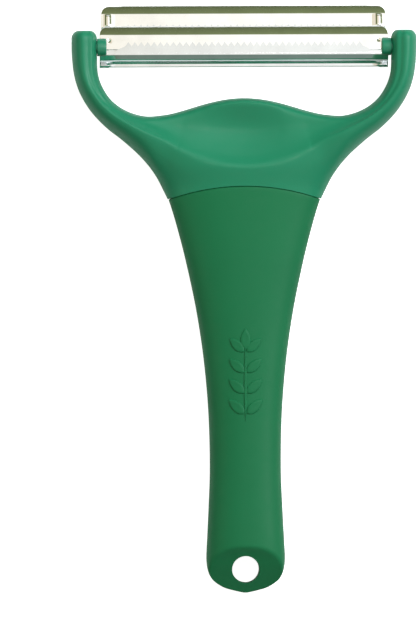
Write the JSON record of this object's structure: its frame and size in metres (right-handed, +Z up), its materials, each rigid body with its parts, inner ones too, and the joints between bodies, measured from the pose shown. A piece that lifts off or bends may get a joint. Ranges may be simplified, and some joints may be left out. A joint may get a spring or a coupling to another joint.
{
  "type": "swivel vegetable peeler",
  "caption": "Wide Y-shaped hand peeler: a tapered moulded handle with a thumb dish and hanging hole, and toothed blades with guards that swivel together between its arms.",
  "frame": {"origin": "on the table, under the middle of the whole object's bounding box", "axes": "+Y from the hanging hole to the blade head, +Z up out of the thumb-dish side, X across the arms; the peeler lies on its back"},
  "size_m": [0.1048, 0.1788, 0.0161],
  "materials": {
    "grip_green": "fine satin moulding",
    "yoke_green": "fine satin moulding",
    "trunnion_green": "smooth moulding",
    "blade_steel": "bright rolled sheet",
    "guard_steel": "bright rolled sheet, folded"
  },
  "bodies": {
    "handle": {"grip": "grip_green", "yoke": "yoke_green"},
    "blade_head": {"front_blade": "blade_steel", "front_guard": "guard_steel", "rear_blade": "blade_steel", "rear_guard": "guard_steel", "right_trunnion": "trunnion_green", "left_trunnion": "trunnion_green"}
  },
  "joints": [
    {"name": "head_swivel", "type": "hinge", "parent": "handle", "child": "blade_head", "pos_m": [0, 0.0768, 0.0103], "axis": [1, 0, 0], "range_deg": [-100, 160]}
  ]
}
